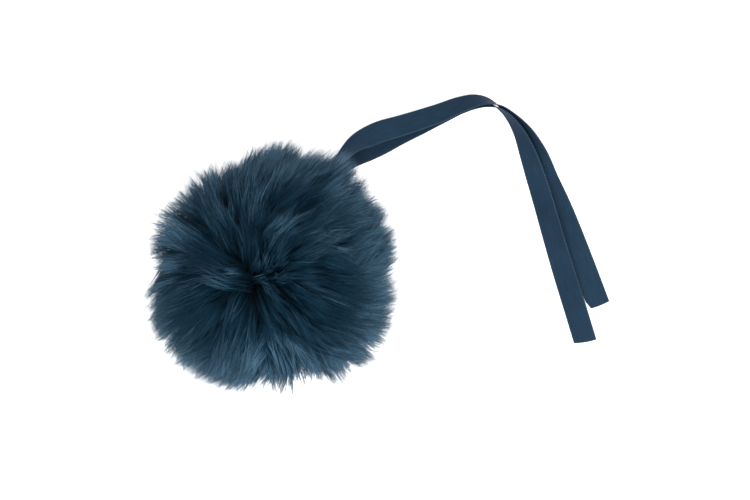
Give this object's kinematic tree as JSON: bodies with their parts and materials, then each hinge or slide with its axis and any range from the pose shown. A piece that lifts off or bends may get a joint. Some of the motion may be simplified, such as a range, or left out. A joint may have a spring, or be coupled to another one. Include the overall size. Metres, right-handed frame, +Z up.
{
  "type": "pom pom",
  "caption": "Round fluffy fur pom pom on a folded satin ribbon tie, for trimming hats, bags and clothes.",
  "frame": {"origin": "on the surface it lies on, at the middle of the ball's flat spot", "axes": "+X from the ball towards the ribbon's cut ends, along the longest side; +Z up from the surface; +Y across, on the side where the ribbon leaves the fur"},
  "size_m": [0.2001, 0.1315, 0.1015],
  "materials": {
    "fur": "soft matt fur",
    "satin": "satin weave"
  },
  "bodies": {
    "root": {"fur_pompom": "fur", "satin_ribbon": "satin"}
  },
  "joints": []
}
